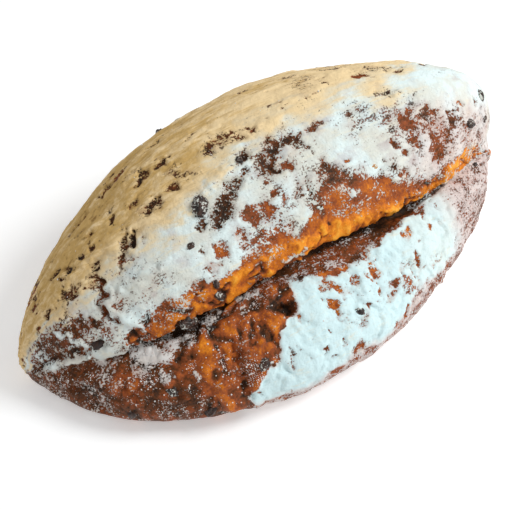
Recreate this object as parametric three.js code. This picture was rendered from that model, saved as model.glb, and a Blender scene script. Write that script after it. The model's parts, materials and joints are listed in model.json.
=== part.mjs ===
// Easter bread: a sugared fruit loaf of folded yeast dough, baked free-standing on a sheet.
// One oval of dough is folded over itself lengthwise, so the loaf has a low lobe in front and a
// high lobe whose rounded lip overhangs a crease. It is one baked solid with a flat base.
//
// Millimetres, +Z up. +X runs along the loaf, and the low lobe faces -Y. The origin is under the
// middle of the loaf's box, on the surface that it stands on.
import * as THREE from "three";

// Driving dimensions of the baked loaf.
const LENGTH = 280;
const WIDTH = 162;
const HEIGHT = 96;

const RINGS = 60; // slices along the loaf, between its two ends
const STEPS_PER_POINT = 3; // mesh steps between two points of the cross-section

// The loaf's outline at stations from its narrow end to its blunt end. x is a share of half the
// length, front and back are shares of the width, and top and base are shares of the height.
// fold shifts the crease across the loaf, as a share of the slice's own width.
const STATIONS = [
  { x: -1.0, front: 0.01, back: 0.01, top: 0.16, base: 0.16, fold: -0.02 },
  { x: -0.985, front: -0.04, back: 0.045, top: 0.24, base: 0.08, fold: -0.035 },
  { x: -0.94, front: -0.095, back: 0.11, top: 0.345, base: 0.035, fold: -0.05 },
  { x: -0.84, front: -0.23, back: 0.22, top: 0.5, base: 0.005, fold: -0.07 },
  { x: -0.63, front: -0.375, back: 0.36, top: 0.71, base: 0, fold: -0.055 },
  { x: -0.33, front: -0.46, back: 0.46, top: 0.905, base: 0, fold: -0.01 },
  { x: 0.0, front: -0.485, back: 0.515, top: 0.985, base: 0, fold: 0.015 },
  { x: 0.33, front: -0.415, back: 0.48, top: 1.0, base: 0, fold: -0.01 },
  { x: 0.63, front: -0.28, back: 0.405, top: 0.96, base: 0, fold: -0.08 },
  { x: 0.84, front: -0.155, back: 0.29, top: 0.865, base: 0.015, fold: -0.12 },
  { x: 0.94, front: -0.065, back: 0.19, top: 0.725, base: 0.075, fold: -0.115 },
  { x: 0.985, front: -0.005, back: 0.1, top: 0.56, base: 0.165, fold: -0.09 },
  { x: 1.0, front: 0.035, back: 0.035, top: 0.335, base: 0.335, fold: -0.06 },
];

// One slice of the loaf, from the front edge of its base over the top to the back edge.
// Each point is [share of the slice's width, share of its height].
const SLICE = [
  [0.1, 0.0],
  [0.035, 0.06],
  [0.0, 0.2], // the low lobe's bulge
  [0.03, 0.36],
  [0.11, 0.48],
  [0.2, 0.54],
  [0.275, 0.53], // the bottom of the crease
  [0.262, 0.6], // the lip's underside
  [0.285, 0.71],
  [0.36, 0.85],
  [0.48, 0.96],
  [0.6, 1.0], // the crest of the high lobe
  [0.74, 0.955],
  [0.88, 0.8],
  [0.97, 0.55],
  [1.0, 0.3],
  [0.975, 0.1],
  [0.9, 0.0],
];

// A smooth curve of one station value against x, as shares of the loaf's size.
function stationCurve(key) {
  const points = STATIONS.map((s) => new THREE.Vector3(s.x, s[key], 0));
  return new THREE.CatmullRomCurve3(points, false, "catmullrom", 0.5);
}

const curves = {
  front: stationCurve("front"),
  back: stationCurve("back"),
  top: stationCurve("top"),
  base: stationCurve("base"),
  fold: stationCurve("fold"),
};

// The stations' values at t, a share of the way through them, in millimetres.
function stationAt(t) {
  const value = (key) => curves[key].getPoint(t).y;
  return {
    x: (curves.front.getPoint(t).x * LENGTH) / 2,
    front: value("front") * WIDTH,
    back: value("back") * WIDTH,
    top: value("top") * HEIGHT,
    base: Math.max(0, value("base")) * HEIGHT,
    fold: value("fold"),
  };
}

// A slice's point in place. The fold's shift fades to nothing at the slice's two sides.
function placed(station, across, up) {
  const shifted = across + station.fold * 4 * across * (1 - across);
  return [
    station.x,
    THREE.MathUtils.lerp(station.front, station.back, shifted),
    THREE.MathUtils.lerp(station.base, station.top, up),
  ];
}

// The closed skin of the loaf: rings from end to end, with one point at each end.
function loafGeometry() {
  const outline = new THREE.SplineCurve(SLICE.map((p) => new THREE.Vector2(...p)));
  const slice = outline.getPoints((SLICE.length - 1) * STEPS_PER_POINT);
  const positions = [];
  for (let ring = 1; ring <= RINGS; ring++) {
    const station = stationAt(ring / (RINGS + 1));
    for (const point of slice) positions.push(...placed(station, point.x, point.y));
  }
  const around = slice.length;
  const narrowEnd = RINGS * around;
  const bluntEnd = narrowEnd + 1;
  positions.push(...placed(stationAt(0), 0, 0));
  positions.push(...placed(stationAt(1), 0, 0));

  const faces = [];
  for (let i = 0; i < around; i++) {
    const next = (i + 1) % around;
    faces.push(narrowEnd, i, next);
    faces.push(bluntEnd, narrowEnd - around + next, narrowEnd - around + i);
    for (let ring = 0; ring < RINGS - 1; ring++) {
      const here = ring * around;
      const beyond = here + around;
      faces.push(here + i, beyond + i, here + next);
      faces.push(here + next, beyond + i, beyond + next);
    }
  }
  const geometry = new THREE.BufferGeometry();
  geometry.setAttribute("position", new THREE.Float32BufferAttribute(positions, 3));
  geometry.setIndex(faces);
  return geometry;
}

// Moves the geometry so that the origin is under the middle of its box.
function centreOnBase(geometry) {
  geometry.computeBoundingBox();
  const { min, max } = geometry.boundingBox;
  geometry.translate(-(min.x + max.x) / 2, -(min.y + max.y) / 2, -min.z);
  geometry.computeVertexNormals();
  return geometry;
}

const crust = new THREE.MeshStandardMaterial({ color: 0x9a5a2a, roughness: 0.75, metalness: 0 });

const loaf = new THREE.Mesh(centreOnBase(loafGeometry()), crust);
loaf.name = "loaf";

const easterBread = new THREE.Group();
easterBread.add(loaf);

export default easterBread;
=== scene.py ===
"""Easter bread: a sugared fruit loaf of folded yeast dough, lying on a pale table.

The loaf is one baked piece: a low lobe in front and a high lobe whose torn lip overhangs the fold.
Its dough is remeshed from the CAD solid and shaped, and then raisins, peel and crumbs of sugar are
set into it. Places on the loaf are given as (along, around): millimetres along the loaf from its
middle, and degrees around its length, from 0 at the front foot over 90 at the top to 180 at the
back foot. Shaping works in millimetres, and the pieces are in metres.
"""

import json
import math
import random

import bpy
import numpy as np
from mathutils import Matrix, Vector
from mathutils.bvhtree import BVHTree

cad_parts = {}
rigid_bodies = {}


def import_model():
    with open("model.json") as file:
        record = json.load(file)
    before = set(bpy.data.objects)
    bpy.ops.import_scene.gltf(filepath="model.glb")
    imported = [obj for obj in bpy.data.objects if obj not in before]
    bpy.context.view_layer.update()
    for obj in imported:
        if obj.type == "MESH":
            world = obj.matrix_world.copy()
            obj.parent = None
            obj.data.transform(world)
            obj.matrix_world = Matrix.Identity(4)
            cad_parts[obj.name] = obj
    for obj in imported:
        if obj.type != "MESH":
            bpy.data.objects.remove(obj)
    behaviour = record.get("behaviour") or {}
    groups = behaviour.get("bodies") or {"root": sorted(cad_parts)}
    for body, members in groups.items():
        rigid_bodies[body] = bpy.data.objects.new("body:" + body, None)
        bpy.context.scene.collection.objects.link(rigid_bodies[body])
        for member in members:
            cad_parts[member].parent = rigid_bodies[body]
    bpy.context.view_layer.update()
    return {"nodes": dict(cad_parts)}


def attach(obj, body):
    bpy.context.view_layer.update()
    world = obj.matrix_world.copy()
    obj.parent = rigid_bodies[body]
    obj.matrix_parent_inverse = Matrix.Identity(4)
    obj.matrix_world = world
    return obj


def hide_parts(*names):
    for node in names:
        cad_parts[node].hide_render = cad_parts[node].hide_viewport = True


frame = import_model()

MM = 0.001
SKIN_VOXEL = 1.1 * MM


# ---------------------------------------------------------------- places and soft edges


def ramp(value, start, end):
    """0 before start, 1 after end, and smooth between them."""
    share = np.clip((value - start) / (end - start), 0, 1)
    return share * share * (3 - 2 * share)


def mix(a, b, share):
    return a + (b - a) * share


def lattice(cell, seed):
    """A random number from -1 to 1 for each whole-numbered cell."""
    mixed = cell[:, 0] * 73856093 ^ cell[:, 1] * 19349663 ^ cell[:, 2] * 83492791 ^ (seed * 2654435)
    mixed = (mixed ^ (mixed >> 13)) * 1274126177 & 0x7FFFFFFF
    mixed = (mixed ^ (mixed >> 15)) * 668265263 & 0x7FFFFFFF
    return (mixed & 0xFFFF) / 32767.5 - 1


TURN = np.array(Matrix.Rotation(0.9, 3, Vector((0.4, 0.7, 0.6))))


def clouds(points, size, seed, layers=1):
    """Smooth noise of about -1 to 1 at each point. size is the width of its largest lumps, in mm."""
    total = np.zeros(len(points))
    weight, weights = 1.0, 0.0
    turned = points
    for layer in range(layers):
        turned = turned @ TURN
        scaled = turned / (size * 0.5**layer) + 17.3 * layer
        cell = np.floor(scaled).astype(np.int64)
        share = scaled - cell
        share = share * share * (3 - 2 * share)
        value = np.zeros(len(points))
        for corner in np.ndindex(2, 2, 2):
            corner = np.array(corner)
            near = np.where(corner == 1, share, 1 - share).prod(axis=1)
            value += near * lattice(cell + corner, seed + 31 * layer)
        total += value * weight
        weights += weight
        weight *= 0.5
    return total / weights * 1.4


def drawn(points, direction, share):
    """Points pressed together along one direction, so that noise at them is drawn out along it."""
    direction = np.array(direction) / np.linalg.norm(direction)
    return points - (1 - share) * (points @ direction)[:, None] * direction


def cells(points, size, seed):
    """Lumps around scattered points: the distance to the nearest one and to the second nearest, as
    shares of size, and a random number from -1 to 1 for each lump."""
    scaled = points @ TURN / size
    cell = np.floor(scaled).astype(np.int64)
    first = np.full(len(points), 9.0)
    second = np.full(len(points), 9.0)
    tone = np.zeros(len(points))
    for step in np.ndindex(3, 3, 3):
        here = cell + np.array(step) - 1
        jitter = np.stack([lattice(here, seed + k) for k in range(3)], axis=1) * 0.42 + 0.5
        far = np.linalg.norm(here + jitter - scaled, axis=1)
        second = np.minimum(second, np.maximum(first, far))
        tone = np.where(far < first, lattice(here, seed + 5), tone)
        first = np.minimum(first, far)
    return first, second, tone


def around_of(points):
    return np.degrees(np.arctan2(points[:, 2], -points[:, 1]))


class Dough:
    """The loaf's skin while it is shaped: its points, in mm, and where each lies on the loaf."""

    def __init__(self, piece):
        self.piece = piece
        self.read()
        self.skin = self.tree()

    def read(self):
        mesh = self.piece.data
        self.points = np.empty(len(mesh.vertices) * 3)
        mesh.vertices.foreach_get("co", self.points)
        self.points = self.points.reshape(-1, 3) / MM
        self.normals = np.empty(len(mesh.vertices) * 3)
        mesh.vertices.foreach_get("normal", self.normals)
        self.normals = self.normals.reshape(-1, 3)

    def write(self):
        self.piece.data.vertices.foreach_set("co", (self.points * MM).ravel())
        self.piece.data.update()

    def tree(self):
        return BVHTree.FromObject(self.piece, bpy.context.evaluated_depsgraph_get())

    @property
    def along(self):
        return self.points[:, 0]

    @property
    def around(self):
        return around_of(self.points)

    def spot(self, along, around):
        """The point and normal of the skin at one place, in mm."""
        turn = math.radians(around)
        out = Vector((0, -math.cos(turn), math.sin(turn)))
        far = Vector((along * MM, 0, 0)) + out * 0.3
        point, normal, _, _ = self.skin.ray_cast(far, -out)
        return np.array(point) / MM, np.array(normal)

    def path(self, places, steps=4):
        """A line over the skin through places, in mm."""
        fine = []
        for start, end in zip(places[:-1], places[1:]):
            for step in range(steps):
                share = step / steps
                fine.append(self.spot(mix(start[0], end[0], share), mix(start[1], end[1], share))[0])
        fine.append(self.spot(*places[-1])[0])
        return np.array(fine)

    def reach(self, points, places):
        """Distance from each point to the line through places, and the share along the line."""
        if len(places) == 1:
            return np.linalg.norm(points - self.spot(*places[0])[0], axis=1), np.full(len(points), 0.5)
        line = self.path(places)
        far = np.full(len(points), 1e9)
        share = np.zeros(len(points))
        for i, (start, end) in enumerate(zip(line[:-1], line[1:])):
            run = end - start
            t = np.clip((points - start) @ run / (run @ run), 0, 1)
            gap = np.linalg.norm(points - start - t[:, None] * run, axis=1)
            closer = gap < far
            far = np.where(closer, gap, far)
            share = np.where(closer, (i + t) / (len(line) - 1), share)
        return far, share

    def stroke(self, points, places, width, soft=0.5):
        """1 along a brush stroke through places, 0 away from it. Its two ends are narrower."""
        far, share = self.reach(points, places)
        thick = width / 2 * (1 if len(places) == 1 else np.sqrt(np.clip(4 * share * (1 - share), 0.15, 1)))
        return 1 - ramp(far / thick, 1 - soft, 1 + soft)


# ---------------------------------------------------------------- the dough's shape


def place_object(name, data):
    made = bpy.data.objects.new(name, data)
    bpy.context.scene.collection.objects.link(made)
    return made


def select_only(piece):
    bpy.ops.object.select_all(action="DESELECT")
    piece.select_set(True)
    bpy.context.view_layer.objects.active = piece


def apply_modifier(piece, name, kind, **settings):
    select_only(piece)
    modifier = piece.modifiers.new(name, kind)
    for key, value in settings.items():
        setattr(modifier, key, value)
    bpy.ops.object.modifier_apply(modifier=modifier.name)


def raw_dough():
    """A finely and evenly meshed skin from the CAD solid."""
    piece = place_object("sugared_loaf", frame["nodes"]["loaf"].data.copy())
    piece.data.materials.clear()
    select_only(piece)
    bpy.ops.object.mode_set(mode="EDIT")
    bpy.ops.mesh.select_all(action="SELECT")
    bpy.ops.mesh.remove_doubles(threshold=0.01 * MM)
    bpy.ops.object.mode_set(mode="OBJECT")
    apply_modifier(piece, "rounded", "SUBSURF", levels=1)
    apply_modifier(piece, "even skin", "REMESH", mode="VOXEL", voxel_size=SKIN_VOXEL)
    apply_modifier(piece, "rested", "SMOOTH", factor=0.5, iterations=10)
    return piece


# Lines that run the whole length of the loaf: degrees around, against millimetres along.
LINES = {
    # the bottom of the fold, under the lip
    "crease": [(-125, 50), (-100, 47.5), (-80, 48), (-60, 51.5), (-40, 53), (-20, 55.5), (0, 57.5),
               (20, 58.5), (40, 58.5), (60, 59.5), (80, 61), (100, 65.5), (110, 68), (125, 72)],
    # the top of the lip's golden torn edge
    "lip": [(-125, 50), (-100, 51), (-90, 56.5), (-80, 60.5), (-68, 61), (-40, 61.5), (-20, 62),
            (0, 65), (20, 64.5), (40, 63.5), (60, 63), (80, 66), (95, 69), (110, 72.5), (125, 75)],
    # the top of the bare band above the lip
    "bare band": [(-90, 55), (-55, 58), (-40, 62), (-25, 66), (-12, 68), (-4, 64), (4, 67), (12, 74),
                  (20, 80), (30, 77), (40, 74), (52, 71), (62, 67), (75, 66), (90, 68), (125, 75)],
    # the ledge on the low lobe below the fold
    "ledge": [(-30, 48), (0, 46), (20, 46), (30, 47), (40, 48.5), (50, 50.5), (60, 53), (75, 57),
              (90, 62)],
    # the top of the thin-sugared foot in front
    "foot": [(-60, 12), (-45, 14), (-20, 13), (0, 18), (20, 16), (30, 17), (40, 22), (50, 25),
             (60, 23), (75, 22), (90, 27), (110, 36), (125, 45)],
    # where the tan of the back begins: sugar soaked with butter, and partly painted warm shade on the side
    # away from the key light
    "butter": [(-140, 80), (-120, 81), (-100, 86), (-80, 87), (-60, 84), (-45, 87), (-20, 93),
               (0, 98), (20, 100), (40, 99), (60, 97), (75, 101), (100, 110), (130, 125)],
}
# Where the thick sugar of the low lobe begins: degrees around, against millimetres along.
WHITE_START = [(8, -49), (12, -50), (17, -50), (21, -46), (25, -39.5), (31, -31.5), (34, -27.5),
               (37, -18.5), (42, -13.5), (50, -10)]

# Marks in the sugar of the high lobe:
# (places, width in mm, sugar left, how golden the crust is, depth in mm).
HIGH_MARKS = [
    # gashes and cracks on the buttery back, from the narrow end on
    ([(-122, 111)], 3.0, 0.1, 0.1, 0.4),
    ([(-123.5, 100.5), (-125.5, 101)], 3.6, 0.1, 0.08, 0.4),
    ([(-116.5, 119), (-119, 117.5)], 3.0, 0.4, 0.1, 0.3),
    ([(-107, 107), (-110.5, 105.5), (-114, 107.5)], 3.4, 0.1, 0.08, 0.6),
    ([(-104.5, 118.5), (-107, 117)], 3.0, 0.3, 0.1, 0.4),
    ([(-108.5, 98.5), (-110, 96.5)], 3.6, 0.2, 0.1, 0.4),
    ([(-103.5, 101.5), (-106, 97.5)], 5.0, -0.2, 0.0, 1.2),
    ([(-98, 99.5), (-99.5, 98)], 3.6, 0.1, 0.05, 0.4),
    ([(-104, 87), (-108, 88.5)], 4.0, 0.25, 0.12, 0.8),
    ([(-107, 84.5), (-110.5, 87), (-113.5, 90)], 4.4, 0.15, 0.14, 1.0),
    ([(-121.5, 90.5), (-121.5, 86)], 4.4, 0.3, 0.14, 0.5),
    ([(-114, 80.5), (-116, 82)], 4.0, 0.4, 0.1, 0.3),
    ([(-93, 89), (-96.5, 87)], 6.0, 0.45, 0.06, 0.4),
    ([(-94.5, 85), (-98, 84), (-101.5, 85)], 4.4, 0.2, 0.22, 0.8),
    ([(-78, 104.5), (-80.5, 99)], 2.8, 0.0, 0.12, 0.6),
    ([(-77, 107.5)], 4.0, 0.5, 0.15, 0.3),
    ([(-55, 119), (-63, 119), (-71, 119), (-77, 118)], 3.4, 0.3, 0.26, 0.5),
    ([(-83, 119), (-90, 119), (-96, 118)], 2.8, 0.4, 0.22, 0.4),
    ([(-38, 118), (-43.5, 118.5)], 2.8, 0.3, 0.1, 0.3),
    ([(-42, 107), (-46, 106.5), (-50, 106)], 3.6, 0.0, 0.1, 0.9),
    ([(-54, 107), (-57.5, 107), (-60.5, 105)], 3.0, 0.1, 0.1, 0.9),
    ([(-54.5, 110), (-54, 107)], 6.0, 0.4, 0.1, 0.3),
    ([(-43, 94.5), (-48, 96), (-52, 96.5)], 3.6, 0.1, 0.14, 0.6),
    ([(-33, 94.5), (-41, 99), (-47.5, 101)], 4.4, 0.75, 0.2, -0.3),
    ([(-55, 95.5), (-60, 95), (-66, 94.5)], 4.6, 0.15, 0.12, 1.4),
    ([(-45, 113), (-56, 112.5), (-66, 112)], 1.6, 0.5, 0.15, 0.6),
    ([(-86, 112), (-96, 111)], 1.6, 0.4, 0.15, 0.6),
    ([(-62, 101), (-72, 100.5)], 1.8, 0.4, 0.15, 0.6),
    ([(-24, 109), (-32, 108)], 1.8, 0.5, 0.15, 0.5),
    ([(-90, 100), (-94, 99)], 2.6, 0.3, 0.12, 0.5),
    ([(-88, 106), (-93, 105)], 2.2, 0.4, 0.12, 0.5),
    ([(-68.5, 91), (-70.5, 87)], 4.4, 0.5, 0.12, 0.3),
    ([(-29, 118), (-23, 118.5)], 2.8, 0.4, 0.14, 0.3),
    ([(7, 118.5), (14, 118)], 3.0, 0.3, 0.1, 0.4),
    ([(28, 117), (38, 117)], 2.8, 0.4, 0.1, 0.3),
    ([(52, 115.5), (62, 115.5), (74, 116.5), (82, 117)], 4.0, 0.3, 0.14, 0.5),
    ([(70, 107.5), (79, 105.5), (90, 103.5)], 3.0, 0.5, 0.12, 0.4),
    ([(99.5, 103), (108, 107), (116, 109)], 3.6, 0.5, 0.14, 0.4),
    # the groove at the lip's narrow end, and the forked crack above it
    ([(-96, 83), (-98, 78), (-99, 74), (-98.5, 68), (-96.5, 63)], 2.3, 0.1, 0.26, 2.2),
    ([(-76, 94.5), (-80, 89.5), (-82, 86), (-86, 80.5)], 3.4, 0.15, 0.1, 1.8),
    ([(-72.5, 92), (-75.5, 87.5), (-79, 86)], 2.0, -0.1, 0.0, 1.8),
    ([(-79, 84), (-83, 82.5), (-86, 80)], 3.4, 0.25, 0.34, 0.8),
    ([(-106.5, 70), (-107, 64)], 3.6, 0.0, 0.12, 0.8),
    ([(-110.5, 71), (-113.5, 71), (-116.5, 71)], 6.0, 0.25, 0.2, 0.5),
    ([(-134, 64), (-126, 61), (-116, 57.5), (-108, 54.5)], 2.4, 0.1, 0.08, 0.9),
    ([(-118, 60), (-110, 59.5)], 6.0, 0.35, 0.24, 0.4),
    ([(-130, 68), (-124, 66)], 6.0, 0.3, 0.16, 0.4),
    # around the big raisin, and the crack that runs up from it
    ([(-30.5, 83.5), (-34, 80), (-36.5, 77)], 8.0, 0.25, 0.08, 1.0),
    ([(-40, 80), (-37, 79)], 5.0, 0.25, 0.1, 0.6),
    ([(-49.5, 78.5), (-46, 79), (-42, 79.5)], 3.2, 0.1, 0.15, 0.8),
    ([(-31.5, 83.5), (-25.5, 85.5), (-20, 87.3), (-16.5, 88.5)], 4.0, 0.2, 0.1, 1.4),
    ([(-16.5, 90), (-11, 89)], 1.8, 0.0, 0.0, 0.8),
    ([(-49, 72)], 2.4, 0.2, 0.2, 0.3),
    ([(-43.5, 72), (-41, 69.5), (-40, 67)], 5.0, 0.1, 0.5, 0.4),
    ([(-50, 65.5), (-46, 66)], 3.4, 0.4, 0.4, 0.2),
    ([(-30, 72)], 3.4, 0.1, 0.35, 0.3),
    ([(-30.5, 69)], 2.6, 0.2, 0.35, 0.2),
    ([(-21, 78.5), (-20.5, 76), (-22, 73.5)], 6.5, 0.05, 0.34, 0.6),
    ([(-15.5, 77.3), (-10.5, 74)], 5.0, 0.1, 0.42, 0.4),
    ([(-8, 79), (-4, 80)], 3.2, 0.2, 0.35, 0.3),
    ([(-6, 77), (-2, 75)], 3.4, 0.45, 0.35, 0.2),
    ([(-15, 69.5), (-18, 66.5), (-15, 64)], 7.0, 0.35, 0.42, 0.3),
    ([(-14, 70), (-9, 68)], 6.0, 0.35, 0.42, 0.3),
    ([(-7, 70), (-6, 66)], 5.4, 0.4, 0.42, 0.2),
    ([(-33, 65), (-27, 62.5)], 6.4, 0.35, 0.6, 0.2),
    ([(-61, 62), (-55, 62.5)], 4.2, 0.3, 0.36, 0.3),
    ([(6, 79), (8.5, 75.5), (10, 71)], 7.4, 0.5, 0.16, 0.3),
    ([(9.5, 74), (12.5, 68), (14.5, 65)], 2.4, 0.0, 0.05, 0.5),
    # the middle of the ridge
    ([(-23.5, 101.5), (-17, 101.5), (-13.5, 99.5)], 6.4, 0.3, 0.14, 0.6),
    ([(-25, 99.5)], 4.0, 0.4, 0.14, 0.3),
    ([(-8, 101), (-6.5, 98.5)], 6.4, 0.4, 0.12, 0.4),
    ([(-11, 94.5), (-14.5, 92.5)], 6.6, 0.1, 0.05, 1.0),
    ([(2.5, 95), (0, 94.5)], 4.0, 0.1, 0.08, 0.8),
    ([(18, 91.5), (12, 91.5), (7.5, 91)], 5.6, 0.2, 0.12, 1.0),
    ([(4, 90.5), (0.5, 90.5), (-4, 89), (-3, 85.5), (-1, 84)], 5.8, 0.1, 0.08, 1.3),
    ([(16, 89.5), (18, 87)], 4.0, 0.4, 0.15, 0.4),
    ([(5, 85.5), (4, 83.5)], 2.8, 0.05, 0.3, 0.6),
    ([(22, 83.5), (20.5, 83)], 3.4, 0.2, 0.3, 0.2),
    ([(20.5, 93), (26, 92.5), (32, 92)], 2.8, 0.2, 0.2, 0.5),
    ([(32, 80.5), (36, 79.5)], 2.8, 0.2, 0.6, 0.2),
    ([(19.5, 80.5), (23, 77.5), (23.5, 75.5)], 8.0, 0.1, 0.14, 0.5),
    ([(45, 86.5)], 5.0, 0.65, 0.15, 0.2),
    ([(49, 92.5)], 6.0, 0.65, 0.15, 0.2),
    ([(62.5, 84.5), (66.5, 85.5)], 6.0, 0.6, 0.15, 0.2),
    ([(80, 89.5)], 6.0, 0.65, 0.15, 0.2),
    ([(59.5, 95.5), (68.5, 94), (76.5, 92)], 2.0, 0.5, 0.1, 0.2),
    # red streaks towards the blunt end
    ([(70.5, 87.3), (72, 85.5), (74, 83)], 5.4, -0.1, 0.34, 0.6),
    ([(77, 83.5), (76.5, 81)], 3.8, 0.1, 0.3, 0.3),
    ([(71, 80.5), (75, 77)], 5.4, 0.2, 0.34, 0.4),
    ([(59, 80.5), (62.5, 78.5), (65, 75.5)], 3.2, 0.1, 0.34, 0.5),
    ([(87, 86), (85, 82.5), (82.5, 79.5)], 6.4, 0.35, 0.3, 0.5),
    ([(82.5, 79.5), (84.5, 76), (84, 73), (80, 71)], 6.0, 0.2, 0.34, 0.5),
    ([(90.5, 79.5), (91, 75.5)], 5.0, 0.3, 0.34, 0.4),
    ([(83.5, 84)], 4.0, 0.3, 0.04, 0.5),
    ([(96.5, 82.5), (99.5, 81)], 6.6, 0.25, 0.24, 0.5),
    ([(104, 85), (107, 85)], 2.8, 0.2, 0.6, 0.2),
    ([(118, 86)], 4.4, 0.4, 0.25, 0.2),
    ([(63, 70.5), (59, 68.5)], 6.0, 0.3, 0.4, 0.3),
    ([(85.5, 72), (87.5, 70.5)], 5.0, 0.4, 0.34, 0.2),
    ([(53, 76), (56, 72)], 7.0, 0.6, 0.15, 0.2),
]
# Marks in the low lobe, in the same form. A negative depth stands out.
LOW_MARKS = [
    ([(26, 41), (29, 40)], 6.0, 0.1, 0.6, 0.3),
    ([(14, 41), (17, 41)], 4.6, 0.1, 0.4, 0.3),
    ([(21, 38.7), (23.5, 38.8)], 3.0, 0.2, 0.6, 0.2),
    ([(26, 38.5)], 2.8, 0.1, 0.3, 0.3),
    ([(12, 45.5), (16, 45)], 3.0, 0.2, 0.5, 0.2),
    ([(51.5, 48), (55, 46.5)], 4.6, 0.15, 0.58, 0.3),
    ([(65, 54.5), (69, 53.5)], 6.4, 0.25, 0.35, 0.3),
    ([(67.5, 49.5), (66.5, 45)], 3.0, 0.25, 0.6, 0.2),
    ([(2, 42.5), (7, 40.5), (9, 37.5), (5.5, 35)], 3.2, 0.1, 0.55, 0.5),
    ([(0, 38), (1, 32.5)], 3.0, 0.15, 0.55, 0.4),
    ([(-2, 44), (4, 43)], 5.6, 0.3, 0.5, 0.2),
    ([(52, 39.5), (52.5, 33)], 2.4, 0.1, 0.35, 0.5),
    ([(44, 37), (46, 36)], 2.6, 0.3, 0.35, 0.2),
    ([(37.5, 33), (33.5, 30.5), (27, 27.5)], 4.0, 0.5, 0.42, 0.2),
    ([(40, 31), (47, 27)], 8.0, 0.55, 0.42, 0.2),
    ([(16.5, 31.5), (17.5, 29.5)], 2.8, 0.15, 0.35, 0.2),
    ([(-12.5, 26), (-12, 22.5), (-8, 19.5), (-4, 18)], 1.6, 0.0, 0.3, 0.8),
    ([(-7, 30), (-6, 28)], 2.0, 0.2, 0.3, 0.4),
    ([(-20, 38), (-18, 36), (-16.5, 33.5)], 2.2, 0.1, 0.6, 0.3),
    ([(-36.5, 26.5), (-35, 26)], 3.0, 0.1, 0.5, 0.2),
    ([(-29, 28), (-30, 23)], 4.0, 0.6, 0.3, 0.2),
    ([(9, 27.5), (13, 25.5)], 6.4, 0.6, 0.35, 0.2),
    ([(3, 19.5), (8, 18.5)], 7.0, 0.15, 0.42, 0.2),
    ([(-1.5, 25), (-0.5, 21)], 2.2, 0.2, 0.3, 0.3),
    ([(28, 17.5), (32, 18)], 3.0, 0.2, 0.4, 0.3),
    ([(38, 22), (39, 18)], 4.0, 0.1, 0.45, 0.3),
    # amber facets of the bare end, lightened as a painted highlight, and the sharp creases above and between
    # them, darkened as painted shade
    ([(-66, 32.5), (-65.5, 28.5)], 9.0, 0.0, 0.62, -0.9),
    ([(-62, 25.5), (-61, 22.5)], 7.0, 0.0, 0.58, -0.6),
    ([(-54.5, 37), (-54.5, 33)], 6.5, 0.0, 0.55, -0.7),
    ([(-50, 44), (-40, 42.5)], 7.0, 0.1, 0.5, -0.5),
    ([(-38, 44), (-37.5, 36.5)], 6.0, 0.0, 0.58, -0.8),
    ([(-31.5, 42), (-31.5, 33)], 5.5, 0.0, 0.58, -0.8),
    ([(-46, 35), (-45, 28)], 5.0, 0.05, 0.42, -0.5),
    ([(-79, 38), (-75, 37.5), (-71, 37)], 1.8, 0.0, 0.0, 1.4),
    ([(-53, 27), (-52, 18)], 2.0, 0.0, 0.02, 1.2),
    ([(-60, 40), (-59, 35)], 2.0, 0.0, 0.02, 1.2),
    ([(-41, 41), (-42, 34)], 1.8, 0.0, 0.05, 1.0),
    ([(-35, 40), (-35.5, 31)], 1.8, 0.0, 0.05, 1.0),
    ([(-75, 48), (-66, 48.5), (-58, 50)], 7.0, 0.25, 0.0, 2.0),
    ([(-21.5, 44), (-22, 38.5)], 7.0, -0.2, 0.05, 0.0),
    ([(-121, 32), (-117, 24), (-113, 14)], 12.0, 0.3, 0.12, 0.0),
]
# The rim beside the groove at the lip's narrow end.
GROOVE_RIM = [(-94, 78), (-95.5, 72.5), (-94, 66), (-90.5, 59), (-87, 52.5)]
# Raised rims and folds of dough: (places, width in mm, height in mm).
FOLDS = [
    (GROOVE_RIM, 4.5, 1.9),
    ([(-105, 94.5), (-97, 93), (-89, 91), (-82, 92)], 3, 1.6),
    ([(-92, 72), (-84, 74), (-74, 73), (-64, 75)], 5, 1.5),
    ([(-37, 88.5), (-28, 90), (-21, 92)], 5, 1.6),
    ([(-136, 62), (-128, 58), (-118, 53), (-108, 50)], 4, 1.2),
    ([(-122, 76), (-114, 62), (-111, 56)], 4, 1.0),
    ([(-75, 91), (-77, 88)], 3, 0.8),
    ([(-30, 101), (-18, 99.5)], 5, 0.8),
    ([(-2, 97), (6, 100), (14, 97)], 5, 0.8),
    ([(4, 86), (10, 87.5)], 5, 0.8),
    ([(20, 104), (45, 104)], 5, 0.7),
    ([(45, 110), (80, 106)], 6, 0.8),
    ([(-75, 112), (-50, 112)], 4, 0.7),
    ([(30, 46), (42, 47.5), (54, 51)], 4, 0.8),
    ([(-48, 38), (-49, 26), (-47, 18)], 6, 1.4),
]
# Creases and holes pressed into the dough: (places, width in mm, depth in mm).
PLEATS = [
    ([(-53, 36), (-54, 31), (-54, 22), (-52, 15)], 4, 2.0),
    ([(-21, 44), (-21.5, 41), (-22.5, 38.5)], 8, 5.0),
    ([(-106, 59), (-106, 55)], 8, 3.0),
    ([(-67, 24), (-68, 16)], 3.5, 1.2),
    ([(-85, 25), (-81, 22)], 4, 1.4),
    ([(-104, 33), (-101, 22)], 3.5, 1.2),
    ([(-122, 32), (-119, 20), (-114, 8)], 14, 3.6),
    ([(-35, 24), (-33, 22)], 4, 1.2),
]
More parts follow.
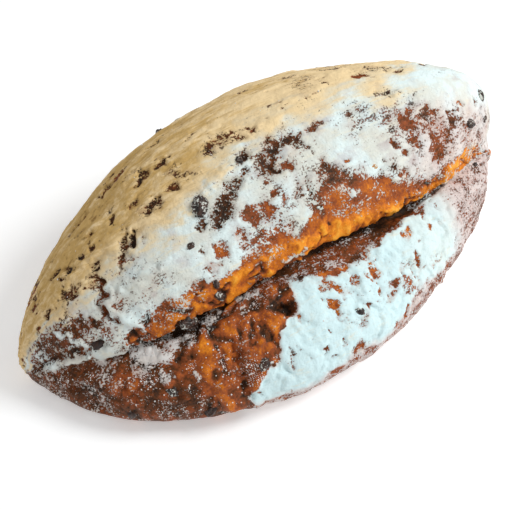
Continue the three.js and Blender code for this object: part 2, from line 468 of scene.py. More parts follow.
# Streaks and patches of white sugar laid over the bare places: (places, width in mm, sugar).
SUGAR_STREAKS = [
    ([(6, 79), (8.5, 75), (11, 70.5), (13, 66.5)], 2.0, 1.3),
    (GROOVE_RIM, 3.2, 1.0),
    ([(-79, 46), (-75, 42)], 9, 0.7),
    ([(-85, 34), (-85, 30)], 8, 0.55),
    ([(-62, 46), (-52, 47)], 6, 0.62),
    ([(-40, 48), (-28, 49)], 6, 0.68),
    ([(-73, 33), (-71, 27)], 5, 0.62),
    ([(-98, 38), (-92, 40)], 7, 0.6),
    ([(-113, 38), (-105, 38)], 6, 0.5),
    ([(30, 71), (36, 70)], 4, 0.9),
    ([(-8, 91.5), (-15.5, 90.5)], 2.6, 1.3),
    ([(-134, 60.5), (-128, 57.5), (-118, 53.5), (-108, 50.5)], 4, 1.0),
    ([(-122, 78), (-117, 68), (-111, 58)], 4, 1.0),
    ([(-81.5, 92), (-88.5, 92), (-96.5, 93), (-103.5, 95)], 2.2, 1.6),
    ([(-62, 85.5), (-69.5, 85)], 2.2, 1.5),
    ([(-30, 104.5), (-44, 104), (-58, 103)], 2.2, 1.5),
    ([(-68, 98), (-84, 97), (-98, 96.5)], 2.0, 1.5),
    ([(-14, 59), (0, 60)], 3, 0.8),
]


def wobble(points, size, seed):
    """A random shift for each point, of about one length each way."""
    return np.stack([clouds(points, size, seed + k) for k in range(3)], axis=1)


def set_attribute(piece, name, values):
    attribute = piece.data.attributes.new(name, "FLOAT", "POINT")
    attribute.data.foreach_set("value", values.astype(np.float32))


class Coat:
    """What is laid on the dough, one value a point: sugar, gold (how golden the crust is), the tan of
    the back (sugar soaked with butter, and partly painted warm shade), pale (how light that tan is,
    partly painted light and shade), blush (a tint of the sugar), the cyan of painted cool light on
    the sugar, and lift in mm."""

    def __init__(self, dough):
        self.dough = dough
        self.points, self.along, self.around = dough.points, dough.along.copy(), dough.around.copy()
        self.rough = self.points + 1.2 * wobble(self.points, 6, 11) + 1.5 * wobble(self.points, 2.6, 16)
        torn = self.points + 2.0 * wobble(self.points, 9, 91) + 1.0 * wobble(self.points, 3.2, 96)
        self.torn_along, self.torn_around, self.torn_height = torn[:, 0], around_of(torn), torn[:, 2]
        self.low = 1 - ramp(self.around, self.line("crease") - 0.8, self.line("crease") + 0.8)
        for name in ("sugar", "gold", "butter", "pale", "blush", "cool", "lift"):
            setattr(self, name, np.zeros(len(self.points)))

    def line(self, name, torn=False):
        places = LINES[name]
        along = self.torn_along if torn else self.along
        return np.interp(along, [p[0] for p in places], [p[1] for p in places])

    def clouds(self, size, seed, layers=1):
        return clouds(self.points, size, seed, layers)

    def lay(self, share, sugar=None, gold=None, lift=0.0):
        if sugar is not None:
            self.sugar = mix(self.sugar, sugar, share)
        if gold is not None:
            self.gold = mix(self.gold, gold, share)
        self.lift += lift * share

    def mark(self, where, marks):
        """Broken places in the sugar, each with a halo of thinner sugar around it."""
        specks = self.clouds(2.8, 88, 2)
        for places, width, *_ in marks:
            halo = self.dough.stroke(self.rough, places, width * 2.1, 0.6) * where
            self.sugar -= 0.22 * halo * ramp(self.sugar, 0.5, 0.9)
        for places, width, left, warm, depth in marks:
            stroke = self.dough.stroke(self.rough, places, width * 1.25, 0.9) * where
            self.lay(stroke, left + 0.35 * specks, warm + 0.15 * specks, -depth)


def lay_dough(coat):
    """Broad waves everywhere, folds of dough and pressed creases."""
    coat.lift += 1.1 * coat.clouds(38, 3) + 0.55 * coat.clouds(13, 4, 2)
    for places, width, height in FOLDS:
        coat.lift += height * coat.dough.stroke(coat.rough, places, width, 0.9)
    for places, width, depth in PLEATS:
        coat.lift -= depth * coat.dough.stroke(coat.rough, places, width, 0.9)


def lay_high_lobe(coat):
    """The sugar of the high lobe, its bare band above the lip, and the torn lip itself."""
    coat.sugar += 1.04 + 0.55 * coat.clouds(20, 50, 4)
    coat.sugar -= 0.1 * ramp(-coat.along, 40, 70) * (1 - ramp(coat.around, 82, 96))
    coat.gold += 0.32 + 0.12 * coat.clouds(12, 51, 2)
    lip_top = coat.line("lip", torn=True)
    band_top = coat.line("bare band", torn=True)
    band = (1 - coat.low) * (1 - ramp(coat.torn_around, band_top - 2, band_top + 2))
    band *= ramp(coat.along, -90, -60)
    height = np.clip((coat.torn_around - lip_top) / np.maximum(band_top - lip_top, 2), 0, 1)
    warmth = mix(0.64, 0.37, height**0.6) + 0.2 * coat.clouds(7, 53, 3)
    coat.lay(band, 0.17 + 0.42 * coat.clouds(7, 52, 3), warmth)

    lip = (1 - coat.low) * (1 - ramp(coat.torn_around, lip_top - 1, lip_top + 1.5))
    lip *= ramp(coat.along, -104, -88)
    coat.lip = lip
    first, second, tone = cells(coat.points * [0.6, 1, 1] + 2.2 * wobble(coat.points, 5, 74), 6.5, 71)
    crack = (1 - ramp(second - first, 0.02, 0.2)) * ramp(coat.clouds(8, 72), -0.4, 0.3)
    torn = coat.clouds(4.5, 23, 3)
    golden = 0.75 + 0.15 * tone + 0.25 * torn - 0.6 * crack
    pale_end = ramp(coat.along, 60, 90)
    narrow_end = ramp(-coat.along, 45, 75)
    amount = -0.1 + 0.5 * coat.clouds(9, 54, 3) + 0.4 * pale_end + 0.32 * narrow_end
    coat.lay(lip, amount, golden - 0.22 * narrow_end)
    full = ramp(coat.along, -95, -35)
    bulge = mix(0.2, 2.2, full) - 1.4 * pale_end + 1.3 * full * coat.clouds(14, 78)
    fine = 0.7 * coat.clouds(2.4, 24, 2)
    coat.lay(lip, lift=bulge + 0.9 * (0.5 - first) + 0.5 * tone - 1.4 * crack + torn + fine)


def lay_bare_end(coat):
    """The bare end of the low lobe: glossy brown crust pulled into facets, with clumps of sugar. The
    ridges of its pleats are lightened as a painted highlight, and its creases and the crust under
    the lip are darkened as painted shade.
    """
    white_start = np.interp(coat.torn_around, [p[0] for p in WHITE_START], [p[1] for p in WHITE_START])
    ragged = coat.torn_along + 5 * coat.clouds(13, 41, 3)
    coat.white = ramp(ragged, white_start - 2, white_start + 2)
    bare = coat.low * (1 - coat.white)
    upper = ramp(coat.points[:, 2], 4, 18)
    pleated = ramp(coat.along, -80, -60)
    lumps = coat.points + 2.4 * wobble(coat.points, 8, 45)
    pleats = drawn(lumps, (0.15, 0.35, 1.0), 0.3)
    pleat = np.abs(clouds(pleats, 7.5, 42, 2))
    crease = (1 - ramp(pleat, 0.0, 0.22)) * ramp(coat.clouds(11, 46), -0.6, 0.0)
    crinkle = np.abs(coat.clouds(5.5, 47, 3))
    relief = mix(1.8 * crinkle, 3.6 * np.minimum(pleat, 0.6) + 0.8 * crinkle, pleated)
    coat.lay(bare, lift=(relief - 0.6) * upper + 0.5 * coat.clouds(4, 44, 3))
    under_lip = ramp(coat.torn_around, coat.line("crease") - 14, coat.line("crease") - 4)
    narrow = ramp(-coat.torn_along, 72, 105)
    clumps = 0.36 * coat.clouds(10, 61, 3) + 0.08 * narrow - 0.1 * pleated
    clumps += under_lip * (0.56 + 0.7 * coat.clouds(5, 94, 2))
    # Lighter amber on the ridges of the pleats is a painted highlight, and darker crust in the creases
    # between them is painted shade.
    amber = 0.28 + 0.55 * pleated * (pleat - 0.2) - 0.25 * crease * pleated + 0.25 * (crinkle - 0.3)
    amber += 0.22 * coat.clouds(12, 62, 3) + 0.06 * pleated
    # Darker crust under the lip: painted shade.
    coat.lay(bare, clumps, np.clip(amber, 0.05, 0.75) - 0.1 * under_lip)
    coat.blush += 0.5 * bare


def lay_fold_floor(coat):
    """The floor of the fold: finely speckled, and darkened as painted shade under the lip, with a
    ledge of dough below it.
    """
    ledge = coat.line("ledge", torn=True) + 0.9
    floor = coat.low * ramp(coat.torn_around, ledge - 1.5, ledge + 1.5)
    floor *= ramp(coat.along, -26, -16) * (1 - ramp(coat.along, 62, 80))
    # Dark crust in the floor: painted shade under the lip.
    coat.lay(floor, 0.22 + 0.6 * coat.clouds(6, 63, 3), 0.18 + 0.16 * coat.clouds(6, 64), -1.0)
    coat.blush += 0.6 * floor
    rim = coat.low * (1 - ramp(np.abs(coat.torn_around - ledge + 1), 0.4, 2.4))
    rim *= ramp(coat.along, -20, -5) * (1 - ramp(coat.along, 50, 62))
    coat.lay(rim, 0.52 + 0.6 * coat.clouds(7, 65, 3), 0.38 + 0.3 * coat.clouds(5, 66), 0.4)


def lay_low_white(coat):
    """Thick caked sugar on the low lobe, in flakes, with slanting flecks of crust between them."""
    white = coat.low * coat.white
    # The low lobe's sugar is tinted cyan, less so towards the blunt end: painted cool light on the side
    # facing the key light.
    coat.cool += white * (1 - 0.5 * ramp(coat.along, 30, 75))
    coat.lay(white, 1.4 + 0.35 * coat.clouds(14, 57, 3), 0.56 + 0.14 * coat.clouds(9, 58))
    flake, beyond, tone = cells(coat.rough * [1, 0.7, 0.7], 13, 59)
    edge = 1 - ramp(beyond - flake, 0.0, 0.12)
    slanted = drawn(coat.rough, (0.4, -0.6, -0.7), 0.35)
    crack = 1 - ramp(np.abs(clouds(slanted, 9, 55, 2)), 0.0, 0.12)
    crack *= ramp(coat.clouds(15, 56, 2), 0.0, 0.35)
    fleck = ramp(clouds(slanted, 4.5, 85, 3) + 0.5 * coat.clouds(22, 86), 0.72, 0.95)
    worn = 0.3 * edge * ramp(coat.clouds(8, 60), 0, 0.5) + 0.75 * crack + 0.9 * fleck
    coat.lay(white, coat.sugar - worn)
    coat.lift += white * (0.6 * tone - 0.7 * edge - 0.6 * crack + 0.6 * coat.clouds(8, 77, 3))


def lay_foot_and_ends(coat):
    """Thin sugar at the foot, on the blunt end and on the narrow end."""
    foot_top = coat.line("foot", torn=True)
    foot = (1 - ramp(coat.torn_around, foot_top - 3, foot_top + 2)) * coat.white * coat.low
    coat.lay(foot, 0.62 + 0.3 * coat.clouds(6, 67, 2), 0.4)
    back_foot = (1 - ramp(coat.torn_height, 5, 15)) * ramp(coat.around, 90, 120)
    coat.lay(back_foot, 0.5 + 0.3 * coat.clouds(8, 68, 2))
    blunt = coat.low * ramp(coat.torn_along, 76, 92)
    coat.lay(blunt, 0.6 + 0.2 * coat.clouds(7, 69, 2), 0.3)
    blush = (1 - coat.low) * ramp(coat.torn_along, 52, 84) * (1 - ramp(coat.torn_around, 78, 92))
    blush *= 1 - coat.lip
    brushed = clouds(drawn(coat.rough, (0.5, -0.8, -0.3), 0.25), 4.0, 87, 3)
    coat.lay(0.75 * blush, 0.66 + 0.3 * coat.clouds(9, 73, 4) + 0.4 * brushed, 0.34)
    tip = ramp(-coat.torn_along, 104, 118) * (1 - ramp(coat.torn_around, 70, 88))
    creased = clouds(drawn(coat.rough, (1.0, 0.3, 0.4), 0.35), 6.0, 89, 3)
    coat.lay(tip, 0.22 + 0.35 * coat.clouds(12, 70, 4) + 0.5 * creased, 0.2, 0.8 * creased)
    coat.back_foot = back_foot
    for share in (0.7 * foot, 0.8 * blunt, 0.5 * back_foot, 0.6 * blush, 0.15 * tip):
        coat.blush = np.maximum(coat.blush, share)


def lay_butter(coat):
    """Tan sugar along the back, smeared along the loaf: sugar soaked with butter, and partly painted
    warm shade on the side that faces away from the key light.
    """
    start = coat.line("butter", torn=True)
    smears = np.stack([coat.along / 20, coat.torn_around / 3.2, 0 * coat.along], axis=1)
    smear = clouds(smears, 1.0, 75, 3)
    finer = clouds(np.stack([coat.along / 9, coat.around / 0.9, 0 * coat.along], axis=1), 1.0, 79, 2)
    coat.butter = ramp(coat.torn_around + 9 * smear, start - 12, start + 14)
    patch = coat.clouds(30, 84, 3)
    left = ramp(-coat.along, 40, 120)
    # Painted light and shade: the tan grows paler towards the blunt end and browner towards the narrow end
    # and the back.
    coat.pale = 0.40 + 0.5 * smear + 0.25 * patch + 0.45 * ramp(coat.along, -60, 90) - 0.15 * left
    coat.pale += 0.25 * (1 - ramp(coat.torn_around, start + 6, start + 30))
    scratch = ramp(finer + 0.5 * patch, 0.75, 1.0)
    sandy = ramp(coat.along, -30, 50) * ramp(coat.clouds(16, 76, 3), -0.1, 0.5)
    # Less sugar towards the limb, which darkens it: painted shade where the back turns away from the light.
    limb = ramp(coat.torn_around, 125, 150)
    amount = 1.25 + 0.2 * smear - 0.6 * scratch - 0.42 * sandy - 0.3 * limb
    flecks = clouds(drawn(coat.rough, (1, 0, 0), 0.35), 3.4, 90, 2) + 0.5 * patch + 0.3 * left
    amount -= 1.1 * ramp(flecks, 0.8, 1.1)
    coat.lay(ramp(coat.butter, 0.2, 0.7), amount, 0.2 + 0.12 * patch)
    behind = ramp(coat.torn_around, 125, 148)
    coat.lay(0.7 * behind, 0.72 + 0.6 * coat.clouds(17, 92, 4), 0.36 + 0.15 * patch)
    coat.butter *= 1 - 0.85 * behind * ramp(coat.clouds(26, 93, 3), -0.4, 0.2)
    coat.butter *= 1 - 0.4 * coat.back_foot
    coat.lift += coat.butter * (0.6 * smear + 0.35 * finer)


def lay_crevice_shade(coat):
    # A near-black line along the crease under the lip: painted shade in the crevice.
    crease = coat.line("crease")
    crevice_shade = (1 - ramp(np.abs(coat.around - crease), 0.6, 3.2)) * ramp(coat.along, -112, -96)
    crevice_shade *= coat.low * (1 - ramp(coat.along, 70, 100))
    coat.lay(crevice_shade, np.minimum(coat.sugar, 0.3), 0.0, -2.4)


def lay_streaks(coat):
    for places, width, sugar in SUGAR_STREAKS:
        coat.lay(coat.dough.stroke(coat.rough, places, width, 0.6), sugar)


def shape_and_paint(dough):
    """Lays everything on the dough, raises the sugar as a caked coat, and moves the dough's points."""
    coat = Coat(dough)
    lay_dough(coat)
    lay_high_lobe(coat)
    lay_bare_end(coat)
    lay_low_white(coat)
    lay_fold_floor(coat)
    lay_foot_and_ends(coat)
    lay_butter(coat)
    coat.mark(1 - coat.low, HIGH_MARKS)
    coat.mark(coat.low, LOW_MARKS)
    lay_streaks(coat)
    lay_crevice_shade(coat)
    caked = ramp(coat.sugar, 0.3, 0.85) + 0.5 * ramp(coat.sugar, 1.2, 1.5) * (1 - coat.low)
    coat.lift += caked * (0.75 + 0.35 * coat.clouds(6, 81, 3))
    above_foot = ramp(coat.points[:, 2], 1.0, 9.0)
    dough.points += dough.normals * (coat.lift * above_foot)[:, None]
    gathered = ramp(coat.clouds(9, 83, 3), 0.0, 0.8) ** 3
    coat.crumbs = 0.001 + coat.low * (1 - coat.white) * (0.03 + gathered)
    coat.crumbs += 0.5 * gathered * ramp(0.5 - np.abs(coat.sugar - 0.5), 0.2, 0.5) * (1 - coat.butter)
    coat.crumbs *= ramp(coat.points[:, 2], 3, 8) * (1 - 0.9 * coat.lip)
    names = ("sugar", "gold", "butter", "pale", "blush", "cool", "crumbs")
    return {name: getattr(coat, name) for name in names}


# ---------------------------------------------------------------- finishes


class Nodes:
    """Short ways to add shader nodes to one tree. Sizes are in millimetres."""

    def __init__(self, tree):
        self.tree = tree

    def add(self, kind, inputs=None, output=0, **settings):
        made = self.tree.nodes.new("ShaderNode" + kind)
        for key, value in settings.items():
            setattr(made, key, value)
        for name, value in (inputs or {}).items():
            self.link_or_set(made.inputs[name], value)
        return made.outputs[output]

    def noise(self, vector, size, detail=2.0, roughness=0.5, distortion=0.0):
        inputs = {"Vector": vector, "Scale": 1000 / size, "Detail": detail, "Roughness": roughness}
        return self.add("TexNoise", {**inputs, "Distortion": distortion})

    def math(self, operation, first, second=0.0, third=0.0):
        return self.add("Math", {0: first, 1: second, 2: third}, operation=operation)

    def times(self, first, second):
        return self.math("MULTIPLY", first, second)

    def sum(self, *values):
        total = values[0]
        for value in values[1:]:
            total = self.math("ADD", total, value)
        return total

    def around_zero(self, value, strength):
        """A noise value of 0 to 1 turned into one around zero."""
        return self.math("MULTIPLY_ADD", value, strength, -strength / 2)

    def link_or_set(self, socket, value):
        if isinstance(value, bpy.types.NodeSocket):
            self.tree.links.new(value, socket)
        else:
            socket.default_value = value

    def ramp(self, value, start, end, low=0.0, high=1.0):
        inputs = {"Value": value, "From Min": start, "From Max": end, "To Min": low, "To Max": high}
        return self.add("MapRange", inputs, interpolation_type="SMOOTHSTEP")

    def blend(self, share, first, second):
        made = self.tree.nodes.new("ShaderNodeMix")
        made.data_type = "RGBA"
        self.link_or_set(made.inputs[0], share)
        for socket, value in ((made.inputs[6], first), (made.inputs[7], second)):
            self.link_or_set(socket, (*value, 1) if isinstance(value, tuple) else value)
        return made.outputs[2]

    def colours(self, value, stops):
        made = self.tree.nodes.new("ShaderNodeValToRGB")
        elements = made.color_ramp.elements
        elements[0].color = (*stops[0][1], 1)
        elements[-1].color = (*stops[-1][1], 1)
        for place, colour in stops[1:-1]:
            elements.new(place).color = (*colour, 1)
        self.tree.links.new(value, made.inputs[0])
        return made.outputs[0]

    def attribute(self, name):
        return self.add("Attribute", output=2, attribute_name=name)


def sugar_dust_group():
    """Where powdered sugar lies, and how high. Amount runs from 0 (none) to 1.2 (an unbroken coat),
    and Clumping says how unevenly the sugar is gathered into clumps."""
    group = bpy.data.node_groups.new("sugar dust", "ShaderNodeTree")
    group.interface.new_socket("Vector", in_out="INPUT", socket_type="NodeSocketVector")
    for name, side in (("Amount", "INPUT"), ("Clumping", "INPUT"), ("Mask", "OUTPUT"), ("Height", "OUTPUT")):
        group.interface.new_socket(name, in_out=side, socket_type="NodeSocketFloat")
    nodes = Nodes(group)
    given = group.nodes.new("NodeGroupInput")
    clumps = nodes.noise(given.outputs["Vector"], 5.0, 6, 0.72)
    grains = nodes.noise(given.outputs["Vector"], 1.0, 2, 0.6)
    clumping = nodes.times(nodes.math("SUBTRACT", clumps, 0.5), given.outputs["Clumping"])
    amount = nodes.sum(given.outputs["Amount"], clumping, nodes.around_zero(grains, 2.3))
    mask = nodes.ramp(amount, 0.42, 0.58)
    height = nodes.sum(nodes.times(mask, 0.6), nodes.times(clumps, 0.8))
    result = group.nodes.new("NodeGroupOutput")
    group.links.new(mask, result.inputs["Mask"])
    group.links.new(height, result.inputs["Height"])
    return group


def new_material(name):
    material = bpy.data.materials.new(name)
    material.use_nodes = True
    return material, Nodes(material.node_tree), material.node_tree.nodes["Principled BSDF"]


def feed(material, shader, **sockets):
    names = {"colour": "Base Color", "roughness": "Roughness", "normal": "Normal"}
    for key, value in sockets.items():
        material.node_tree.links.new(value, shader.inputs[names[key]])


def sugar_dust(nodes, group, vector, amount, clumping):
    made = nodes.tree.nodes.new("ShaderNodeGroup")
    made.node_tree = group
    for name, value in (("Vector", vector), ("Amount", amount), ("Clumping", clumping)):
        nodes.link_or_set(made.inputs[name], value)
    return made.outputs["Mask"], made.outputs["Height"]


CRUST_COLOURS = [
    (0.0, (0.028, 0.013, 0.006)),
    (0.2, (0.13, 0.040, 0.011)),
    (0.42, (0.32, 0.075, 0.020)),
    (0.62, (0.56, 0.145, 0.013)),
    (0.85, (0.86, 0.27, 0.015)),
    (1.0, (0.94, 0.40, 0.04)),
]
# Cyan sugar: painted cool light.
COOL_LIT_SUGAR = (0.70, 0.89, 0.91)
BRIGHT_SUGAR = (0.80, 0.92, 0.91)
SOFT_SUGAR = (0.75, 0.77, 0.70)
SHADED_SUGAR = (0.56, 0.50, 0.50)
# Deep brown, tan and pale copies of the buttery sugar of the back: lit and shaded copies, partly painted
# warm shade and painted shade.
DEEP_SHADE_BUTTER_SUGAR = (0.30, 0.16, 0.045)
WARM_SHADE_BUTTER_SUGAR = (0.65, 0.42, 0.15)
PALE_WARM_SHADE_BUTTER_SUGAR = (0.92, 0.70, 0.40)
CREAM_SUGAR = (0.84, 0.72, 0.50)
BLUSH_SUGAR = (0.79, 0.63, 0.59)


def crust_material(dust):
    """Baked crust under a broken coat of icing sugar, tan along the back where it has soaked up butter
    and where warm shade is painted. Its cyan on the low lobe is painted cool light, and its grey
    patches are painted shade.
    """
    material, nodes, shader = new_material("crust")
    here = nodes.add("TexCoord", output="Object")
    blister = nodes.noise(here, 5.0, 4, 0.6)
    grain = nodes.noise(here, 1.3, 3, 0.6)
    drawn_down = nodes.add("Mapping", {"Vector": here, "Scale": (1, 1, 0.25)})
    wrinkle = nodes.noise(drawn_down, 3.2, 4, 0.65, 0.5)
    gold = nodes.sum(
        nodes.attribute("gold"),
        nodes.around_zero(blister, 0.5),
        nodes.around_zero(grain, 0.6),
        nodes.around_zero(wrinkle, 0.6),
    )
    crust = nodes.colours(gold, CRUST_COLOURS)

    drawn_out = nodes.add("Mapping", {"Vector": here, "Scale": (0.16, 1, 1), "Rotation": (0, 0, 0.1)})
    streaks = nodes.noise(drawn_out, 3.0, 5, 0.7, 0.6)
    amount = nodes.sum(nodes.attribute("sugar"), nodes.around_zero(streaks, 1.2))
    blush = nodes.attribute("blush")
    mask, height = sugar_dust(nodes, dust, here, amount, nodes.ramp(blush, 0.2, 0.9, 2.4, 1.6))
    # The tan of the back: buttery sugar, and partly painted warm shade.
    butter = nodes.sum(nodes.attribute("butter"), nodes.around_zero(nodes.noise(here, 7, 4), 0.5))
    pale = nodes.sum(nodes.attribute("pale"), nodes.around_zero(nodes.noise(here, 3.5, 3), 0.5))
    pale = nodes.sum(pale, nodes.around_zero(streaks, 2.2))
    # The tan runs from its pale copy through tan to deep brown as pale falls: lit and shaded copies, painted
    # light and shade.
    buttery = nodes.blend(nodes.ramp(pale, 0.1, 1.0), WARM_SHADE_BUTTER_SUGAR, PALE_WARM_SHADE_BUTTER_SUGAR)
    buttery = nodes.blend(nodes.ramp(pale, 0.05, -0.5, 0.0, 0.85), buttery, DEEP_SHADE_BUTTER_SUGAR)
    white = nodes.blend(nodes.ramp(nodes.noise(here, 16, 4), 0.4, 0.6), BRIGHT_SUGAR, SOFT_SUGAR)
    # Grey patches in the white sugar: painted shade.
    painted_shade = nodes.ramp(nodes.noise(here, 11, 5, 0.6, 0.4), 0.5, 0.72, 0.0, 0.6)
    white = nodes.blend(painted_shade, white, SHADED_SUGAR)
    # Cyan on the low lobe: painted cool light.
    white = nodes.blend(nodes.attribute("cool"), white, COOL_LIT_SUGAR)
    butter = nodes.sum(butter, nodes.around_zero(streaks, 0.9))
    cream = nodes.blend(nodes.ramp(butter, 0.0, 0.5), white, CREAM_SUGAR)
    sugar = nodes.blend(nodes.ramp(butter, 0.3, 0.8), cream, buttery)
    sugar = nodes.blend(blush, sugar, BLUSH_SUGAR)
    film = nodes.ramp(amount, 0.5, 1.0, 0.0, 0.4)
    thickness = nodes.sum(amount, nodes.around_zero(nodes.noise(here, 9, 4, 0.6), 1.6))
    grains = nodes.times(mask, nodes.ramp(thickness, 0.2, 1.2, 0.66, 1.0))
    colour = nodes.blend(nodes.math("MAXIMUM", grains, film), crust, sugar)

    relief = nodes.sum(
        height,
        nodes.times(blister, 0.7),
        nodes.times(grain, 0.6),
        nodes.times(streaks, 0.8),
        nodes.times(wrinkle, 0.7),
    )
    bump = nodes.add("Bump", {"Height": relief, "Distance": 0.6 * MM, "Strength": 0.9})
    roughness = nodes.ramp(mask, 0, 1, 0.5, 0.9)
    shader.inputs["Specular IOR Level"].default_value = 0.16
    feed(material, shader, colour=colour, roughness=roughness, normal=bump)
    return material


def flat_base(piece, dough):
    """Presses the base flat and thins out its faces, which are far more than a flat face needs."""
    dough.points[dough.points[:, 2] < 0.35, 2] = 0
    dough.write()
    select_only(piece)
    bpy.ops.object.mode_set(mode="EDIT")
    bpy.ops.mesh.select_all(action="DESELECT")
    bpy.ops.object.mode_set(mode="OBJECT")
    for face in piece.data.polygons:
        face.select = all(piece.data.vertices[v].co.z < 0.01 * MM for v in face.vertices)
    bpy.ops.object.mode_set(mode="EDIT")
    bpy.ops.mesh.select_mode(type="FACE")
    bpy.ops.mesh.select_less()
    bpy.ops.mesh.decimate(ratio=0.05)
    bpy.ops.object.mode_set(mode="OBJECT")


def fruit_material(name, dust, dark, light, gloss):
    """Dried or candied fruit: mottled, a little glossy, with a dusting of icing sugar."""
    material, nodes, shader = new_material(name)
    here = nodes.add("TexCoord", output="Object")
    mottle = nodes.noise(here, 2.5, 4, 0.6)
    flesh = nodes.blend(nodes.ramp(mottle, 0.35, 0.7), dark, light)
    mask, height = sugar_dust(nodes, dust, here, nodes.attribute("sugar"), 2.2)
    colour = nodes.blend(nodes.times(mask, 0.85), flesh, SOFT_SUGAR)
    relief = nodes.sum(nodes.times(height, 0.6), mottle)
    bump = nodes.add("Bump", {"Height": relief, "Distance": 0.4 * MM, "Strength": 0.8})
    roughness = nodes.ramp(mask, 0, 1, gloss, 0.9)
    feed(material, shader, colour=colour, roughness=roughness, normal=bump)
    return material


def crumb_material():
    """Loose lumps of icing sugar."""
    material, nodes, shader = new_material("icing sugar")
    here = nodes.add("TexCoord", output="Object")
    tone = nodes.noise(here, 6, 3)
    colour = nodes.blend(nodes.ramp(tone, 0.35, 0.65), (0.78, 0.80, 0.78), (0.76, 0.66, 0.62))
    powder = nodes.noise(here, 0.8, 3)
    bump = nodes.add("Bump", {"Height": powder, "Distance": 0.3 * MM, "Strength": 0.6})
    shader.inputs["Roughness"].default_value = 0.9
    feed(material, shader, colour=colour, normal=bump)
    return material


# Raisins: (along, around, half their length in mm, sugar on them, how deep they sit).
RAISINS = [
    (-42, 85, 6.4, 0.32, 0.3),
    (-53.5, 75, 2.6, 0.1, 0.4),
    (110, 79, 4.0, 0.2, 0.4),
    (125, 89, 4.0, 0.4, 0.4),
    (124, 82, 2.6, 0.2, 0.5),
    (113, 66, 2.2, 0.1, 0.5),
    (-66, 50, 5.5, 0.25, 0.1),
    (-57, 44, 3.2, 0.2, 0.5),
    (-48, 55.5, 4.0, 0.25, 0.5),
    (-49, 60, 2.6, 0.3, 0.6),
    (-106, 56.5, 5.0, 0.0, 0.7),
    (-21.5, 41.5, 4.6, -0.2, 0.9),
    (-43, 27, 4.0, 0.2, 0.5),
    (-70, 12.5, 4.4, 0.0, 0.5),
    (-104, 13, 3.6, 0.0, 0.5),
    (-85, 26, 4.0, 0.3, 0.5),
    (-14, 93, 3.2, 0.2, 0.5),
    (12, 30, 3.6, 0.3, 0.7),
    (60, 128, 4.6, 0.3, 0.4),
    (-30, 135, 4.2, 0.3, 0.4),
    (95, 140, 3.8, 0.4, 0.5),
    (-70, 150, 4.2, 0.2, 0.4),
    (10, 158, 4.0, 0.1, 0.4),
]
PEEL = [(46.5, 75, 2.4, 0.35, 0.6), (-22, 128, 3.6, 0.3, 0.4), (84, 152, 3.4, 0.4, 0.4)]


def rounded_fruit(name, furrow, proportions, seed):
    """One piece of fruit, about 1 mm in half its length, with furrows along it."""
    bpy.ops.object.select_all(action="DESELECT")
    bpy.ops.mesh.primitive_ico_sphere_add(subdivisions=5, radius=1.0)
    fruit = bpy.context.active_object
    fruit.name = name
    points = np.array([v.co for v in fruit.data.vertices])
    wrinkle = 1 - np.abs(clouds(points * [1.0, 2.6, 2.6], 1.1, seed, 2)) * 1.6
    lumps = clouds(points, 1.0, seed + 3, 2)
    points *= (1 - furrow * np.clip(wrinkle, 0, 1) + 0.12 * lumps)[:, None] * proportions
    fruit.data.vertices.foreach_set("co", points.ravel())
    fruit.data.update()
    select_only(fruit)
    bpy.ops.object.shade_smooth()
    return fruit


def set_into(dough, fruit, name, place, material, rng):
    """A copy of the fruit, turned at random, sunk into the skin at its place."""
    along, around, half_length, sugar, depth = place
    spot, normal = dough.spot(along, around)
    piece = place_object(name, fruit.data.copy())
    lean = Vector(normal).to_track_quat("Z", "Y").to_matrix().to_4x4()
    turn = Matrix.Rotation(rng.uniform(0, math.tau), 4, "Z")
    centre = Vector(spot - normal * half_length * 0.62 * depth) * MM
    piece.matrix_world = Matrix.Translation(centre) @ lean @ turn @ Matrix.Scale(half_length * MM, 4)
    select_only(piece)
    bpy.ops.object.transform_apply(location=True, rotation=True, scale=True)
    set_attribute(piece, "sugar", np.full(len(piece.data.vertices), sugar))
    piece.data.materials.append(material)
    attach(piece, "root")


def set_fruit(dough, dust):
    rng = random.Random(4)
    dried = fruit_material("raisin", dust, (0.012, 0.006, 0.004), (0.075, 0.028, 0.014), 0.38)
    candied = fruit_material("candied peel", dust, (0.50, 0.20, 0.04), (0.72, 0.42, 0.14), 0.3)
    raisin = rounded_fruit("raisin", 0.22, (1.0, 0.74, 0.62), 301)
    for i, place in enumerate(RAISINS):
        set_into(dough, raisin, f"raisin_{i + 1}", place, dried, rng)
    peel = rounded_fruit("peel", 0.1, (1.0, 0.8, 0.5), 311)
    for i, place in enumerate(PEEL):
        set_into(dough, peel, f"candied_peel_{i + 1}", place, candied, rng)
    for pattern in (raisin, peel):
        bpy.data.objects.remove(pattern)


def crumb_patterns(count):
    """A few lumps of sugar with different corners."""
    patterns = []
    for i in range(count):
        bpy.ops.object.select_all(action="DESELECT")
        bpy.ops.mesh.primitive_ico_sphere_add(subdivisions=1, radius=1.0)
        crumb = bpy.context.active_object
        points = np.array([v.co for v in crumb.data.vertices])
        points *= 1 + 0.3 * wobble(points * 3, 1.0, 330 + 7 * i)
        crumb.data.vertices.foreach_set("co", points.ravel())
        patterns.append(crumb)
    return patterns


CRUMB_COUNT = 1500


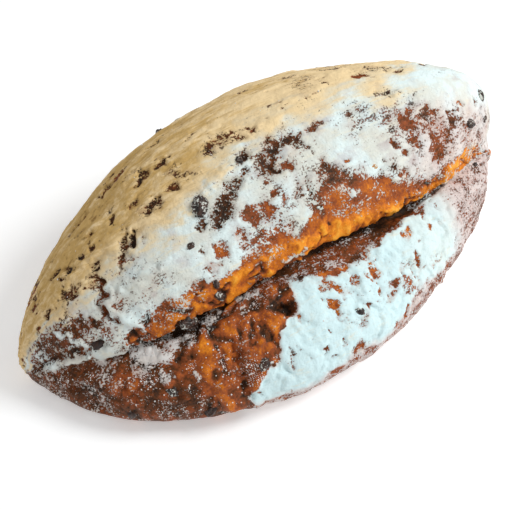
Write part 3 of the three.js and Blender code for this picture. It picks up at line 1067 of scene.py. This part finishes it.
def scatter_crumbs(dough, density):
    """Loose lumps of sugar, more of them where density is high."""
    rng = np.random.default_rng(8)
    chosen = rng.choice(len(density), size=CRUMB_COUNT, replace=False, p=density / density.sum())
    patterns = crumb_patterns(4)
    crumbs = []
    for k, i in enumerate(chosen):
        crumb = place_object("crumb", patterns[k % len(patterns)].data.copy())
        size = 0.17 + 0.4 * rng.random() ** 3
        lean = Vector(dough.normals[i]).to_track_quat("Z", "Y").to_matrix().to_4x4()
        turn = Matrix.Rotation(rng.uniform(0, math.tau), 4, "Z")
        flattened = Matrix.Diagonal((size, size, 0.7 * size, 1))
        centre = Vector(dough.points[i] + dough.normals[i] * 0.15 * size) * MM
        crumb.matrix_world = Matrix.Translation(centre) @ lean @ turn @ flattened @ Matrix.Scale(MM, 4)
        crumbs.append(crumb)
    for pattern in patterns:
        bpy.data.objects.remove(pattern)
    select_only(crumbs[0])
    bpy.ops.object.transform_apply(location=True, rotation=True, scale=True)
    for crumb in crumbs:
        crumb.select_set(True)
    bpy.ops.object.join()
    piece = bpy.context.active_object
    piece.name = "sugar_crumbs"
    piece.data.materials.append(crumb_material())
    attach(piece, "root")


dust = sugar_dust_group()
piece = raw_dough()
dough = Dough(piece)
paint = shape_and_paint(dough)
for name, values in paint.items():
    set_attribute(piece, name, values)
flat_base(piece, dough)
dough.read()
piece.data.materials.append(crust_material(dust))
select_only(piece)
bpy.ops.object.shade_smooth()
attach(piece, "root")
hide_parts("loaf")
dough.skin = dough.tree()
set_fruit(dough, dust)
density = np.empty(len(piece.data.vertices))
piece.data.attributes["crumbs"].data.foreach_get("value", density)
scatter_crumbs(dough, density)
bpy.ops.object.select_all(action="DESELECT")


# ---------------------------------------------------------------- table, light and camera

CAMERA_AZIMUTH = math.radians(-30)
CAMERA_HEIGHT = math.radians(50)
CAMERA_REACH = 580 * MM
CAMERA_TARGET = Vector((0, -2.1, 38)) * MM
AIM_LEFT = 8.1 * MM
AIM_BELOW = 13.1 * MM
LENS = 79.8
SENSOR_WIDTH = 36
TABLE_SIZE = 6


def look_from(azimuth, height):
    return Vector((
        math.sin(azimuth) * math.cos(height),
        -math.cos(azimuth) * math.cos(height),
        math.sin(height),
    ))


def set_camera():
    data = bpy.data.cameras.new("camera")
    data.lens = LENS
    data.sensor_width = SENSOR_WIDTH
    data.clip_start = 0.01
    camera = place_object("camera", data)
    back = look_from(CAMERA_AZIMUTH, CAMERA_HEIGHT)
    stand = CAMERA_TARGET + back * CAMERA_REACH
    right = Vector((math.cos(CAMERA_AZIMUTH), math.sin(CAMERA_AZIMUTH), 0))
    up = back.cross(right)
    aim = CAMERA_TARGET - right * AIM_LEFT - up * AIM_BELOW
    camera.location = stand
    camera.rotation_euler = (aim - stand).to_track_quat("-Z", "Y").to_euler()
    bpy.context.scene.camera = camera


def set_table():
    bpy.ops.mesh.primitive_plane_add(size=TABLE_SIZE)
    table = bpy.context.active_object
    table.name = "table"
    material = bpy.data.materials.new("pale table")
    material.use_nodes = True
    shader = material.node_tree.nodes["Principled BSDF"]
    shader.inputs["Base Color"].default_value = (0.9, 0.9, 0.9, 1)
    shader.inputs["Roughness"].default_value = 0.8
    shader.inputs["Emission Color"].default_value = (1, 1, 1, 1)
    shader.inputs["Emission Strength"].default_value = 0.3
    table.data.materials.append(material)


def soft_light(name, azimuth, height, reach, size, power, colour):
    data = bpy.data.lights.new(name, "AREA")
    data.shape = "DISK"
    data.size = size
    data.energy = power
    data.color = colour
    light = place_object(name, data)
    light.location = look_from(math.radians(azimuth), math.radians(height)) * reach
    light.rotation_euler = (-light.location).to_track_quat("-Z", "Y").to_euler()


def set_lights():
    world = bpy.data.worlds.new("studio")
    world.use_nodes = True
    world.node_tree.nodes["Background"].inputs["Color"].default_value = (1, 1, 1, 1)
    world.node_tree.nodes["Background"].inputs["Strength"].default_value = 0.5
    bpy.context.scene.world = world
    soft_light("key", 65, 48, 1.2, 0.45, 9, (0.96, 0.99, 1.0))
    bpy.context.scene.view_settings.view_transform = "Standard"


set_camera()
set_table()
set_lights()
